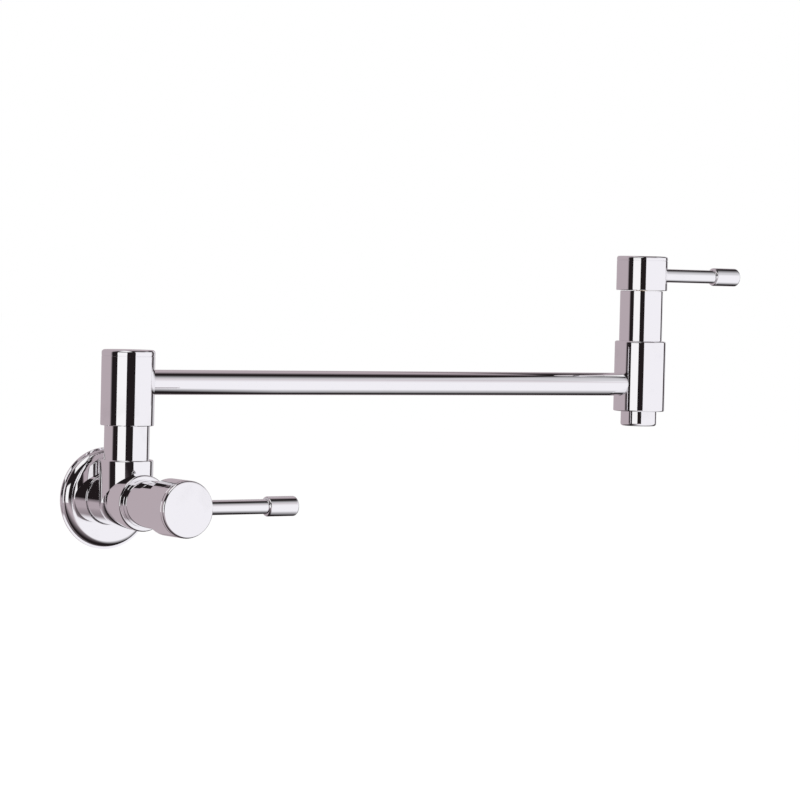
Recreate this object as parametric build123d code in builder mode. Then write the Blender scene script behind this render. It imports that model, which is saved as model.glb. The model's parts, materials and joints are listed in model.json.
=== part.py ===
from build123d import *
import math
import os

# Wall mounted pot filler: a shut-off valve on the wall, one swinging arm, and a
# second valve over the outlet at the arm's end. All lengths are in millimetres.
# Origin: centre of the inlet thread, in the plane of the finished wall.
# +X runs along the parked arm, -Y points away from the wall, +Z is up.

os.makedirs("parts", exist_ok=True)

# ---- Clearances -------------------------------------------------------------
running_fit = 0.05        # radial gap between a turning shaft and its bore
thread_fit = 0.05         # radial gap between a male and a female thread
braze_gap = 0.05          # radial gap that solder fills round the arm tube
slip_fit = 0.1            # radial gap of a part that is slid or pressed in by hand
face_gap = 0.05           # axial gap between faces that turn on each other
rim_gap = 0.3             # radial gap between the column and the sleeve's skirt
handle_gap = 0.3          # axial gap left open between a handle and its bonnet

# ---- Overall places ---------------------------------------------------------
column_distance = 27.0    # wall to the swivel axis
arm_reach = 408.0         # swivel axis to outlet axis
arm_height = 75.4         # inlet axis up to the arm's axis

# ---- Wall flange ------------------------------------------------------------
flange_radius = 32.7      # of the thin rim that lies on the wall
flange_rim_width = 1.4
flange_rim_thickness = 1.1
flange_edge_width = 5.9   # rounded edge between the rim and the flat face
flange_edge_depth = 4.3
flange_bore_edge = 0.8
flange_skin = 1.5         # thickness of the flange's face
flange_boss = 3.0         # wall of the boss that slides on the neck
gasket_margin = 1.0

# ---- Wall valve body --------------------------------------------------------
neck_radius = 16.3
neck_seal_section = 1.0
corner_radius = 17.1      # ball corner and the upright stub
branch_radius = 17.9      # front end of the wall valve's branch, and the outlet body
branch_edge = 1.2
stub_top = 26.3
stub_edge = 1.0
inlet_thread_radius = 10.48
inlet_thread_length = 12.5
inlet_web = 2.7           # metal between the inlet thread and the valve chamber

# ---- Swivel -----------------------------------------------------------------
column_radius = 14.4
column_thread_radius = 10.48
column_thread_length = 12.0
column_bore = 6.0
column_bore_head = 1.2    # how far the bore runs past the ports
column_seal_section = 0.8
spigot_radius = 11.0
spigot_rise = 12.7        # arm's axis up to the spigot's top
port_radius = 3.4
port_groove_depth = 2.0
port_groove_height = 11.0
swivel_seal_rises = (-16.4, -9.9, 9.2)  # from the arm's axis
swivel_seal_section = 1.2
thrust_washer_thickness = 1.0
keeper_radius = 13.4
keeper_thickness = 1.5
keeper_screw_radius = 3.0
keeper_screw_length = 6.0
keeper_head_radius = 5.0
keeper_head_height = 2.0
keeper_socket_radius = 2.3
sleeve_radius = 17.0
sleeve_drop = 27.4        # arm's axis down to the sleeve's lower edge
sleeve_rise = 20.6        # arm's axis up to the cap's top
sleeve_skirt_depth = 2.0  # how far the sleeve reaches down past its thrust washer
sleeve_edge = 0.4
sleeve_counterbore_gap = 0.6
cap_thickness = 3.9
cap_edge = 1.8
cap_plug_depth = 2.2
cap_plug_wall = 1.3
seam_edge = 0.3           # tiny chamfer on both sides of a cap's joint

# ---- Arm tube ---------------------------------------------------------------
tube_radius = 8.0
tube_wall = 1.0
socket_depth = 3.6        # how far the tube sits in the sleeve and outlet body

# ---- Outlet body and aerator ------------------------------------------------
outlet_drop = 18.8        # arm's axis down to the outlet body's lower face
outlet_edge = 0.8
outlet_web = 5.6          # metal between the aerator's seat and the valve chamber
aerator_radius = 12.55
aerator_reach = 10.4      # how far the shell shows below the outlet body
aerator_edge = 1.8
aerator_thread_radius = 11.9
aerator_thread_length = 4.9
aerator_bore = 9.6
aerator_mouth = 8.2
aerator_lip_height = 1.8
aerator_washer_thickness = 1.9
aerator_washer_bore = 7.8
insert_wall = 1.3
insert_floor = 2.4
insert_hole_radius = 1.25
inner_hole_circle = 3.1
inner_hole_count = 6
outer_hole_circle = 6.1
outer_hole_count = 12
screen_thickness = 0.6
screen_pitch = 2.4
screen_hole = 1.6
screen_row_count = 5

# ---- Cartridge, heights measured from its seat ------------------------------
seat_depth = 34.5         # body face down to the seat
seat_bore = 6.0
seat_boss_radius = 8.8
seat_boss_height = 2.3
chamber_radius = 12.5
valve_thread_radius = 10.48
valve_thread_length = 12.0
housing_radius = 9.0
housing_bore = 8.1
housing_foot = 0.8
seal_thickness = 2.6
seal_bore = 6.2
disc_radius = 7.9
disc_thickness = 2.8
port_inner_radius = 1.9
port_outer_radius = 6.2
port_angle = 76.0
lug_reach = 8.9
lug_width = 3.9
tongue_width = 4.4
tongue_length = 13.0
tongue_depth = 1.2        # how far the tongue reaches into the rotating disc
thrust_bottom = 14.9
thrust_height = 3.7
window_bottom = 9.4
window_height = 4.8
window_width = 11.0
collar_gasket_thickness = 1.0
collar_gasket_radius = 12.4
collar_radius = 13.0
collar_height = 5.0
wrench_radius = 10.5      # corner radius of the hexagon
wrench_height = 5.5
journal_radius = 5.55
journal_above_housing = 2.6
spindle_seal_heights = (24.0, 29.0)
spindle_seal_section = 0.62
clip_thickness = 1.0
clip_radius = 7.2
clip_groove_radius = 4.8
clip_mouth_angle = 60.0
stop_wall_radius = 7.6
stop_lug_reach = 8.7
stop_lug_width = 3.6
stop_play_angle = 3.0
quarter_turn = 90.0
stem_radius = 4.0

# ---- Bonnets ----------------------------------------------------------------
bonnet_radius = 15.0
bonnet_roof = 3.0
bonnet_edge = 0.4
bush_wall = 1.95
bush_flange_radius = 8.5
bush_flange_thickness = 1.2

# ---- Handles, heights measured from the hub's back --------------------------
wall_hub_rise = 32.0      # body's face to the hub's back, at the wall valve
outlet_hub_rise = 35.6    # the same at the outlet valve
hub_radius = 17.9
hub_height = 21.0
hub_edge = 0.4
stem_grip = 9.0           # length of stem held in the hub
stem_tooth_count = 18
stem_tooth_depth = 0.35
hub_web = 3.0
hub_cap_thickness = 3.0
hub_cap_edge = 1.5
hub_cap_plug_radius = 11.0
hub_cap_plug_wall = 2.4
hub_cap_plug_depth = 4.6
hub_screw_radius = 2.0
hub_screw_length = 8.0
hub_screw_head_radius = 3.6
hub_screw_head_height = 2.6
hub_screw_socket_radius = 1.7
screw_socket_depth = 1.5
lever_height = 10.8       # hub's back to the lever's axis
rod_radius = 4.7
rod_seat_depth = 2.9
stud_radius = 3.0
stud_length = 3.4
grip_radius = 6.35
grip_start = 62.8         # from the hub's axis
grip_end = 84.6
grip_shoulder = 1.4
grip_tip = 2.0
grip_socket_depth = 3.0
grip_stud_length = 8.0

# ---- Frames: the Z of each lies along the axis its pieces turn about --------
wall_frame = Plane(origin=(0, 0, 0), x_dir=(1, 0, 0), z_dir=(0, -1, 0))
column_frame = Plane(origin=(0, -column_distance, 0), x_dir=(1, 0, 0), z_dir=(0, 0, 1))
outlet_frame = Plane(
    origin=(arm_reach, -column_distance, 0), x_dir=(1, 0, 0), z_dir=(0, 0, 1)
)
arm_frame = Plane(
    origin=(0, -column_distance, arm_height), x_dir=(0, 1, 0), z_dir=(1, 0, 0)
)

# ---- Places that follow from the sizes above --------------------------------
branch_face = inlet_thread_length + inlet_web + seat_boss_height + seat_depth
outlet_bottom = arm_height - outlet_drop
aerator_top = outlet_bottom + aerator_thread_length
aerator_ceiling = aerator_top + aerator_washer_thickness
outlet_face = aerator_ceiling + outlet_web + seat_boss_height + seat_depth
wall_seat = wall_frame.offset(branch_face - seat_depth)
outlet_seat = outlet_frame.offset(outlet_face - seat_depth)
wall_hub = wall_frame.offset(branch_face + wall_hub_rise)
outlet_hub = outlet_frame.offset(outlet_face + outlet_hub_rise)


def section(frame):
    """The plane through a frame's axis: local X is the radius, local Y the height."""
    return Plane(
        origin=frame.origin, x_dir=frame.x_dir, z_dir=frame.x_dir.cross(frame.z_dir)
    )


def axis_of(frame):
    return Axis(frame.origin, frame.z_dir)


def rims(piece, radius):
    """The circular edges of one radius on a piece."""
    circles = piece.edges().filter_by(GeomType.CIRCLE)
    return circles.filter_by(lambda edge: abs(edge.radius - radius) < 0.001)


def turned(frame, *outline):
    """A piece turned from one closed outline of (radius, height) points."""
    with BuildPart() as piece:
        with BuildSketch(section(frame)):
            with BuildLine():
                Polyline(*outline, close=True)
            make_face()
        revolve(axis=axis_of(frame))
    return piece


def ring(frame, inner, outer, bottom, top):
    return turned(frame, (inner, bottom), (outer, bottom), (outer, top), (inner, top))


def o_rings(frame, centre_radius, section_radius, heights):
    """Round-section seals of one size at several heights on one axis."""
    with BuildPart() as piece:
        for height in heights:
            with BuildSketch(section(frame)):
                with Locations((centre_radius, height)):
                    RegularPolygon(section_radius, 6)
            revolve(axis=axis_of(frame))
    return piece


def cut_groove(frame, bottom, height, shaft_radius, floor_radius):
    """A groove round a shaft, cut into the open part."""
    with BuildSketch(frame.offset(bottom)) as groove:
        Circle(shaft_radius + slip_fit)
        Circle(floor_radius, mode=Mode.SUBTRACT)
    extrude(groove.sketch, amount=height, mode=Mode.SUBTRACT)


def drill(frame, bottom, height, radius):
    """A round hole from one height on a frame's axis, cut into the open part."""
    with BuildSketch(frame.offset(bottom)) as hole:
        Circle(radius)
    extrude(hole.sketch, amount=height, mode=Mode.SUBTRACT)


def finish(piece, name):
    """Labels a piece and writes it under the name of its node."""
    piece.part.label = name
    export_step(piece.part, f"parts/{name}.step")


# ---- Wall flange, the foam behind it and the ring that grips the neck -------
flange_bore = neck_radius + running_fit
flange_boss_radius = flange_bore + flange_boss
flange_depth = flange_rim_thickness + flange_edge_depth
flange_hollow = flange_depth - flange_skin
flange_edge_radius = flange_radius - flange_rim_width
flange_face_radius = flange_edge_radius - flange_edge_width

with BuildPart() as wall_flange:
    with BuildSketch(section(wall_frame)):
        with BuildLine():
            Polyline((flange_face_radius, flange_depth), (flange_bore, flange_depth),
                     (flange_bore, 0), (flange_boss_radius, 0),
                     (flange_boss_radius, flange_hollow),
                     (flange_face_radius, flange_hollow), (flange_face_radius, 0),
                     (flange_radius, 0), (flange_radius, flange_rim_thickness),
                     (flange_edge_radius, flange_rim_thickness))
            EllipticalCenterArc((flange_face_radius, flange_rim_thickness),
                                flange_edge_width, flange_edge_depth,
                                start_angle=0, arc_size=quarter_turn)
        make_face()
    revolve(axis=axis_of(wall_frame))
    bore_rims = rims(wall_flange, flange_bore).sort_by(axis_of(wall_frame))
    fillet(bore_rims[-1], flange_bore_edge)
finish(wall_flange, "wall_flange")

flange_gasket = ring(wall_frame, flange_boss_radius + gasket_margin,
                     flange_face_radius - gasket_margin, 0, flange_hollow)
finish(flange_gasket, "flange_gasket")

neck_seal_height = flange_depth / 2
flange_o_ring = o_rings(wall_frame, neck_radius - neck_seal_section,
                        neck_seal_section, [neck_seal_height])
finish(flange_o_ring, "flange_o_ring")


# ---- Valve bores: the same in the wall valve's body and the outlet body -----
def cut_valve_bore(seat, web):
    """Chamber, threaded mouth and seat of a valve, with its port through the web."""
    thread_start = seat_depth - valve_thread_length
    thread_bore = valve_thread_radius + thread_fit
    with BuildSketch(section(seat)) as chamber:
        with BuildLine():
            Polyline((0, 0), (seat_boss_radius, 0), (seat_boss_radius, -seat_boss_height),
                     (chamber_radius, -seat_boss_height), (chamber_radius, thread_start),
                     (thread_bore, thread_start), (thread_bore, seat_depth),
                     (0, seat_depth), close=True)
        make_face()
    revolve(chamber.sketch, axis=axis_of(seat), mode=Mode.SUBTRACT)
    drill(seat, -seat_boss_height - web, seat_boss_height + web, seat_bore)


# ---- Wall valve body: neck, ball corner, front branch and upright stub ------
column_socket_floor = seat_boss_radius + slip_fit

with BuildPart() as wall_valve_body:
    with BuildSketch(wall_frame):
        Circle(neck_radius)
    extrude(amount=column_distance)
    with BuildSketch(section(wall_frame)):
        with BuildLine():
            Polyline((0, column_distance), (corner_radius, column_distance),
                     (branch_radius, branch_face), (0, branch_face), close=True)
        make_face()
    revolve(axis=axis_of(wall_frame))
    fillet(rims(wall_valve_body, branch_radius), branch_edge)
    with BuildSketch(column_frame):
        Circle(corner_radius)
    extrude(amount=stub_top)
    fillet(rims(wall_valve_body, corner_radius).sort_by(Axis.Z)[-1], stub_edge)
    with Locations(column_frame.origin):
        Sphere(corner_radius)
    cut_valve_bore(wall_seat, inlet_web)
    drill(wall_frame, 0, inlet_thread_length, inlet_thread_radius + thread_fit)
    drill(column_frame, column_socket_floor, stub_top - column_socket_floor,
          column_thread_radius + thread_fit)
    cut_groove(wall_frame, neck_seal_height - neck_seal_section, 2 * neck_seal_section,
               neck_radius, neck_radius - 2 * neck_seal_section)
finish(wall_valve_body, "wall_valve_body")

# ---- Swivel column: threaded foot, visible shaft and the spigot inside ------
sleeve_bottom = arm_height - sleeve_drop
spigot_top = arm_height + spigot_rise
column_foot = stub_top - column_thread_length
column_bore_top = arm_height + port_radius + column_bore_head
thrust_face = sleeve_bottom + sleeve_skirt_depth
shoulder_height = thrust_face - face_gap - thrust_washer_thickness
column_seal_radius = (column_thread_radius + column_radius) / 2
swivel_seal_heights = [arm_height + rise for rise in swivel_seal_rises]

with BuildPart() as swivel_column:
    with BuildSketch(section(column_frame)):
        with BuildLine():
            Polyline((0, column_foot), (column_thread_radius, column_foot),
                     (column_thread_radius, stub_top), (column_radius, stub_top),
                     (column_radius, shoulder_height), (spigot_radius, shoulder_height),
                     (spigot_radius, spigot_top), (0, spigot_top), close=True)
        make_face()
    revolve(axis=axis_of(column_frame))
    drill(column_frame, column_foot, column_bore_top - column_foot, column_bore)
    cut_groove(column_frame, arm_height - port_groove_height / 2, port_groove_height,
               spigot_radius, spigot_radius - port_groove_depth)
    for height in swivel_seal_heights:
        cut_groove(column_frame, height - swivel_seal_section, 2 * swivel_seal_section,
                   spigot_radius, spigot_radius - 2 * swivel_seal_section)
    for port_direction in ((1, 0, 0), (0, 1, 0)):
        with BuildSketch(Plane(origin=arm_frame.origin, z_dir=port_direction)):
            Circle(port_radius)
        extrude(amount=spigot_radius, both=True, mode=Mode.SUBTRACT)
    with BuildSketch(column_frame.offset(stub_top)):
        Circle(column_seal_radius + column_seal_section)
        Circle(column_seal_radius - column_seal_section, mode=Mode.SUBTRACT)
    extrude(amount=2 * column_seal_section, mode=Mode.SUBTRACT)
    drill(column_frame, spigot_top - keeper_screw_length, keeper_screw_length,
          keeper_screw_radius + thread_fit)
finish(swivel_column, "swivel_column")

column_seal = o_rings(column_frame, column_seal_radius, column_seal_section,
                      [stub_top + column_seal_section])
finish(column_seal, "column_seal")

swivel_o_rings = o_rings(column_frame, spigot_radius - swivel_seal_section,
                         swivel_seal_section, swivel_seal_heights)
finish(swivel_o_rings, "swivel_o_rings")

sleeve_bore = spigot_radius + running_fit
lower_thrust_washer = ring(column_frame, sleeve_bore, column_radius,
                           shoulder_height, shoulder_height + thrust_washer_thickness)
finish(lower_thrust_washer, "lower_thrust_washer")

upper_thrust_face = spigot_top - face_gap - thrust_washer_thickness
upper_thrust_washer = ring(column_frame, sleeve_bore, keeper_radius,
                           upper_thrust_face, upper_thrust_face + thrust_washer_thickness)
finish(upper_thrust_washer, "upper_thrust_washer")

keeper_washer = ring(column_frame, keeper_screw_radius + slip_fit, keeper_radius,
                     spigot_top, spigot_top + keeper_thickness)
finish(keeper_washer, "keeper_washer")


def socket_screw(head_seat, shank_radius, length, head_radius, head_height, socket_radius):
    """A cap screw with a hexagon socket: its head stands on the plane head_seat."""
    with BuildPart() as screw:
        with BuildSketch(head_seat):
            Circle(head_radius)
        extrude(amount=head_height)
        with BuildSketch(head_seat):
            Circle(shank_radius)
        extrude(amount=-length)
        with BuildSketch(head_seat.offset(head_height)):
            RegularPolygon(socket_radius, 6)
        extrude(amount=-screw_socket_depth, mode=Mode.SUBTRACT)
    return screw


keeper_screw = socket_screw(column_frame.offset(spigot_top + keeper_thickness),
                            keeper_screw_radius, keeper_screw_length, keeper_head_radius,
                            keeper_head_height, keeper_socket_radius)
finish(keeper_screw, "keeper_screw")

# ---- Swivel sleeve and its cap ----------------------------------------------
cap_bottom = arm_height + sleeve_rise - cap_thickness
sleeve_counterbore = keeper_radius + sleeve_counterbore_gap
tube_bore = tube_radius - tube_wall
sleeve_socket = sleeve_radius - socket_depth

with BuildPart() as swivel_sleeve:
    with BuildSketch(section(column_frame)):
        with BuildLine():
            Polyline((column_radius + rim_gap, sleeve_bottom), (sleeve_radius, sleeve_bottom),
                     (sleeve_radius, cap_bottom), (sleeve_counterbore, cap_bottom),
                     (sleeve_counterbore, upper_thrust_face),
                     (sleeve_bore, upper_thrust_face), (sleeve_bore, thrust_face),
                     (column_radius + rim_gap, thrust_face), close=True)
        make_face()
    revolve(axis=axis_of(column_frame))
    outer_rims = rims(swivel_sleeve, sleeve_radius).sort_by(Axis.Z)
    chamfer(outer_rims[0], sleeve_edge)
    chamfer(outer_rims[-1], seam_edge)
    drill(arm_frame, sleeve_socket, 2 * socket_depth, tube_radius + braze_gap)
    drill(arm_frame, 0, sleeve_socket, tube_bore)
finish(swivel_sleeve, "swivel_sleeve")

cap_plug_radius = sleeve_counterbore - slip_fit
with BuildPart() as sleeve_cap:
    with BuildSketch(column_frame.offset(cap_bottom)):
        Circle(sleeve_radius)
    extrude(amount=cap_thickness)
    cap_rims = rims(sleeve_cap, sleeve_radius).sort_by(Axis.Z)
    fillet(cap_rims[-1], cap_edge)
    chamfer(cap_rims[0], seam_edge)
    with BuildSketch(column_frame.offset(cap_bottom)):
        Circle(cap_plug_radius)
        Circle(cap_plug_radius - cap_plug_wall, mode=Mode.SUBTRACT)
    extrude(amount=-cap_plug_depth)
finish(sleeve_cap, "sleeve_cap")

# ---- Arm tube ---------------------------------------------------------------
outlet_socket = arm_reach - branch_radius + socket_depth
arm_tube = ring(arm_frame, tube_bore, tube_radius, sleeve_socket, outlet_socket)
finish(arm_tube, "arm_tube")

# ---- Outlet body with its valve bore and the aerator's thread ---------------
with BuildPart() as outlet_valve_body:
    with BuildSketch(outlet_frame.offset(outlet_bottom)):
        Circle(branch_radius)
    extrude(amount=outlet_face - outlet_bottom)
    outlet_rims = rims(outlet_valve_body, branch_radius).sort_by(Axis.Z)
    fillet(outlet_rims[-1], branch_edge)
    fillet(outlet_rims[0], outlet_edge)
    cut_valve_bore(outlet_seat, outlet_web)
    drill(outlet_frame, outlet_bottom, aerator_ceiling - outlet_bottom,
          aerator_thread_radius + thread_fit)
    drill(arm_frame, outlet_socket - 2 * socket_depth, 2 * socket_depth,
          tube_radius + braze_gap)
    drill(arm_frame, outlet_socket, arm_reach - housing_radius - outlet_socket, tube_bore)
finish(outlet_valve_body, "outlet_valve_body")

# ---- Aerator: shell, jet insert, screen and washer --------------------------
aerator_bottom = outlet_bottom - aerator_reach
aerator_floor = aerator_bottom + aerator_lip_height
with BuildPart() as aerator_housing:
    with BuildSketch(section(outlet_frame)):
        with BuildLine():
            Polyline((aerator_mouth, aerator_bottom), (aerator_radius, aerator_bottom),
                     (aerator_radius, outlet_bottom), (aerator_thread_radius, outlet_bottom),
                     (aerator_thread_radius, aerator_top), (aerator_bore, aerator_top),
                     (aerator_bore, aerator_floor), (aerator_mouth, aerator_floor),
                     close=True)
        make_face()
    revolve(axis=axis_of(outlet_frame))
    fillet(rims(aerator_housing, aerator_radius).sort_by(Axis.Z)[0], aerator_edge)
finish(aerator_housing, "aerator_housing")

insert_radius = aerator_bore - slip_fit
screen_bottom = aerator_top - screen_thickness
with BuildPart() as aerator_insert:
    with BuildSketch(outlet_frame.offset(aerator_floor)):
        Circle(insert_radius)
    extrude(amount=screen_bottom - aerator_floor)
    drill(outlet_frame, aerator_floor + insert_floor,
          screen_bottom - aerator_floor - insert_floor, insert_radius - insert_wall)
    with BuildSketch(outlet_frame.offset(aerator_floor)):
        RegularPolygon(insert_hole_radius, 6)
        with PolarLocations(inner_hole_circle, inner_hole_count):
            RegularPolygon(insert_hole_radius, 6)
        with PolarLocations(outer_hole_circle, outer_hole_count):
            RegularPolygon(insert_hole_radius, 6)
    extrude(amount=insert_floor, mode=Mode.SUBTRACT)
finish(aerator_insert, "aerator_insert")

with BuildPart() as aerator_screen:
    with BuildSketch(outlet_frame.offset(screen_bottom)):
        Circle(insert_radius)
        with GridLocations(screen_pitch, screen_pitch, screen_row_count, screen_row_count):
            Rectangle(screen_hole, screen_hole, mode=Mode.SUBTRACT)
    extrude(amount=screen_thickness)
finish(aerator_screen, "aerator_screen")

aerator_washer = ring(outlet_frame, aerator_washer_bore, aerator_thread_radius - slip_fit,
                      aerator_top, aerator_ceiling)
finish(aerator_washer, "aerator_washer")

# ---- Cartridge: fixed pieces ------------------------------------------------
fixed_disc_top = seal_thickness + disc_thickness
rotating_disc_bottom = fixed_disc_top + face_gap
rotating_disc_top = rotating_disc_bottom + disc_thickness
tongue_bottom = rotating_disc_top - tongue_depth
thrust_top = thrust_bottom + thrust_height
collar_bottom = seat_depth + collar_gasket_thickness
collar_top = collar_bottom + collar_height
housing_top = collar_top + wrench_height
journal_bore = journal_radius + running_fit
journal_top = housing_top + journal_above_housing
clip_bottom = housing_top + face_gap
clip_top = clip_bottom + clip_thickness


def cut_wedge(start_angle, sweep_angle, reach):
    """A wedge from the centre of the open sketch, wide enough to clear the reach."""
    radius = 2 * reach
    with BuildLine() as wedge:
        rim = CenterArc((0, 0), radius, start_angle, sweep_angle)
        Line((0, 0), rim @ 0)
        Line((0, 0), rim @ 1)
    make_face(wedge.edges(), mode=Mode.SUBTRACT)


def cartridge_housing(seat):
    """Brass shell with disc slots, water windows, thread, collar and turn stop."""
    thread_start = seat_depth - valve_thread_length
    thrust_ceiling = thrust_top + face_gap
    with BuildPart() as housing:
        with BuildSketch(section(seat)):
            with BuildLine():
                Polyline((housing_bore, housing_foot), (housing_radius, housing_foot),
                         (housing_radius, thread_start), (valve_thread_radius, thread_start),
                         (valve_thread_radius, collar_bottom), (collar_radius, collar_bottom),
                         (collar_radius, collar_top), (journal_bore, collar_top),
                         (journal_bore, thrust_ceiling), (housing_bore, thrust_ceiling),
                         close=True)
            make_face()
        revolve(axis=axis_of(seat))
        with BuildSketch(seat.offset(collar_top)):
            RegularPolygon(wrench_radius, 6)
            Circle(journal_bore, mode=Mode.SUBTRACT)
        extrude(amount=wrench_height)
        lug_half_angle = math.degrees(math.asin(stop_lug_width / 2 / stop_wall_radius))
        stop_margin = lug_half_angle + stop_play_angle
        with BuildSketch(seat.offset(housing_top)):
            Circle(housing_radius)
            Circle(stop_wall_radius, mode=Mode.SUBTRACT)
            cut_wedge(-stop_margin, quarter_turn + 2 * stop_margin, housing_radius)
        extrude(amount=journal_above_housing)
        with BuildSketch(section(seat)):
            with Locations((0, window_bottom + window_height / 2)):
                Rectangle(window_width, window_height)
        extrude(amount=housing_radius, both=True, mode=Mode.SUBTRACT)
        with BuildSketch(seat.offset(housing_foot)):
            Rectangle(2 * valve_thread_radius, lug_width + 2 * slip_fit)
        extrude(amount=fixed_disc_top - housing_foot, mode=Mode.SUBTRACT)
    return housing


def cut_ports(first_angle):
    """Two opposite ports of a ceramic disc, cut from the open sketch."""
    for side in (0, 180):
        start = first_angle + side - port_angle / 2
        with BuildLine() as port:
            outer = CenterArc((0, 0), port_outer_radius, start, port_angle)
            inner = CenterArc((0, 0), port_inner_radius, start, port_angle)
            Line(outer @ 0, inner @ 0)
            Line(outer @ 1, inner @ 1)
        make_face(port.edges(), mode=Mode.SUBTRACT)


def fixed_disc(seat):
    """Lower ceramic disc: its lugs lock into the housing's slots."""
    with BuildPart() as disc:
        with BuildSketch(seat.offset(seal_thickness)):
            Circle(disc_radius)
            Rectangle(2 * lug_reach, lug_width)
            cut_ports(0)
        extrude(amount=disc_thickness)
    return disc


def bonnet(seat, hub_height_over_seat):
    """Smooth sleeve from the body's face up to just under the handle."""
    top = hub_height_over_seat - handle_gap
    bore = collar_radius + thread_fit
    roof_bore = stem_radius + running_fit + bush_wall + slip_fit
    with BuildPart() as shell:
        with BuildSketch(section(seat)):
            with BuildLine():
                Polyline((bore, seat_depth), (bonnet_radius, seat_depth),
                         (bonnet_radius, top), (roof_bore, top),
                         (roof_bore, top - bonnet_roof), (bore, top - bonnet_roof),
                         close=True)
            make_face()
        revolve(axis=axis_of(seat))
        chamfer(rims(shell, bonnet_radius), bonnet_edge)
    return shell


def bonnet_bush(seat, hub_height_over_seat):
    """Plastic bush that guides the stem through the bonnet's roof."""
    top = hub_height_over_seat - handle_gap
    ceiling = top - bonnet_roof
    bore = stem_radius + running_fit
    flange_bottom = ceiling - bush_flange_thickness
    return turned(seat, (bore, flange_bottom), (bush_flange_radius, flange_bottom),
                  (bush_flange_radius, ceiling), (bore + bush_wall, ceiling),
                  (bore + bush_wall, top), (bore, top))


# ---- Cartridge: pieces that turn with the handle ----------------------------
def rotating_disc(seat):
    """Upper ceramic disc: closed at rest, with the slot for the spindle's tongue."""
    with BuildPart() as disc:
        with BuildSketch(seat.offset(rotating_disc_bottom)):
            Circle(disc_radius)
            cut_ports(quarter_turn)
        extrude(amount=disc_thickness)
        with BuildSketch(seat.offset(tongue_bottom)):
            Rectangle(2 * disc_radius, tongue_width + 2 * slip_fit)
        extrude(amount=tongue_depth, mode=Mode.SUBTRACT)
    return disc


def spline_profile(tip_radius):
    """Toothed outline of the stem's end, drawn in the open sketch."""
    points = []
    for index in range(2 * stem_tooth_count):
        angle = index * math.pi / stem_tooth_count
        radius = tip_radius - stem_tooth_depth * (index % 2)
        points.append((radius * math.cos(angle), radius * math.sin(angle)))
    with BuildLine() as outline:
        Polyline(*points, close=True)
    make_face(outline.edges())


def spindle(seat, hub_height_over_seat):
    """Tongue, thrust collar, sealed journal, stop lug, stem and splined end."""
    with BuildPart() as shaft:
        with BuildSketch(section(seat)):
            with BuildLine():
                Polyline((0, thrust_bottom), (housing_bore - running_fit, thrust_bottom),
                         (housing_bore - running_fit, thrust_top),
                         (journal_radius, thrust_top), (journal_radius, journal_top),
                         (stem_radius, journal_top), (stem_radius, hub_height_over_seat),
                         (0, hub_height_over_seat), close=True)
            make_face()
        revolve(axis=axis_of(seat))
        with BuildSketch(seat.offset(tongue_bottom)):
            Rectangle(tongue_length, tongue_width)
        extrude(amount=thrust_bottom - tongue_bottom)
        with BuildSketch(seat.offset(hub_height_over_seat)):
            spline_profile(stem_radius)
        extrude(amount=stem_grip)
        for height in spindle_seal_heights:
            cut_groove(seat, height - spindle_seal_section, 2 * spindle_seal_section,
                       journal_radius, journal_radius - 2 * spindle_seal_section)
        cut_groove(seat, clip_bottom, clip_thickness, journal_radius, clip_groove_radius)
        lug_bottom = clip_top + face_gap
        with BuildSketch(seat.offset(lug_bottom)):
            with Locations((0, stop_lug_reach / 2)):
                Rectangle(stop_lug_width, stop_lug_reach)
        extrude(amount=journal_top - lug_bottom)
        stem_top = hub_height_over_seat + stem_grip
        drill(seat, stem_top - hub_screw_length, hub_screw_length,
              hub_screw_radius + thread_fit)
    return shaft


def spindle_clip(seat):
    """Open ring that keeps the spindle from dropping into the housing."""
    with BuildPart() as clip:
        with BuildSketch(seat.offset(clip_bottom)):
            Circle(clip_radius)
            Circle(clip_groove_radius, mode=Mode.SUBTRACT)
            cut_wedge(-clip_mouth_angle / 2, clip_mouth_angle, clip_radius)
        extrude(amount=clip_thickness)
    return clip


# ---- Handle -----------------------------------------------------------------
web_bottom = stem_grip + slip_fit
web_top = web_bottom + hub_web
cap_recess_radius = hub_cap_plug_radius + slip_fit
rod_seat = hub_radius - rod_seat_depth
stud_end = rod_seat - stud_length


def lever_frame(hub_back):
    """The lever's axis: from the hub's axis outwards, at the lever's height."""
    return Plane(
        origin=hub_back.offset(lever_height).origin,
        x_dir=hub_back.z_dir,
        z_dir=hub_back.x_dir,
    )


def hub(hub_back):
    """Handle hub: splined socket below, screw recess above, lever seat in its side."""
    lever = lever_frame(hub_back)
    with BuildPart() as body:
        with BuildSketch(section(hub_back)):
            with BuildLine():
                Polyline((0, 0), (hub_radius, 0), (hub_radius, hub_height),
                         (cap_recess_radius, hub_height), (cap_recess_radius, web_top),
                         (0, web_top), close=True)
            make_face()
        revolve(axis=axis_of(hub_back))
        outer_edges = rims(body, hub_radius).sort_by(axis_of(hub_back))
        chamfer(outer_edges[0], hub_edge)
        chamfer(outer_edges[-1], seam_edge)
        with BuildSketch(hub_back):
            spline_profile(stem_radius + slip_fit)
        extrude(amount=web_bottom, mode=Mode.SUBTRACT)
        drill(hub_back, web_bottom, hub_web, hub_screw_radius + slip_fit)
        drill(lever, rod_seat, 2 * rod_seat_depth, rod_radius + slip_fit)
        drill(lever, stud_end, stud_length, stud_radius + thread_fit)
    return body


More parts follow.
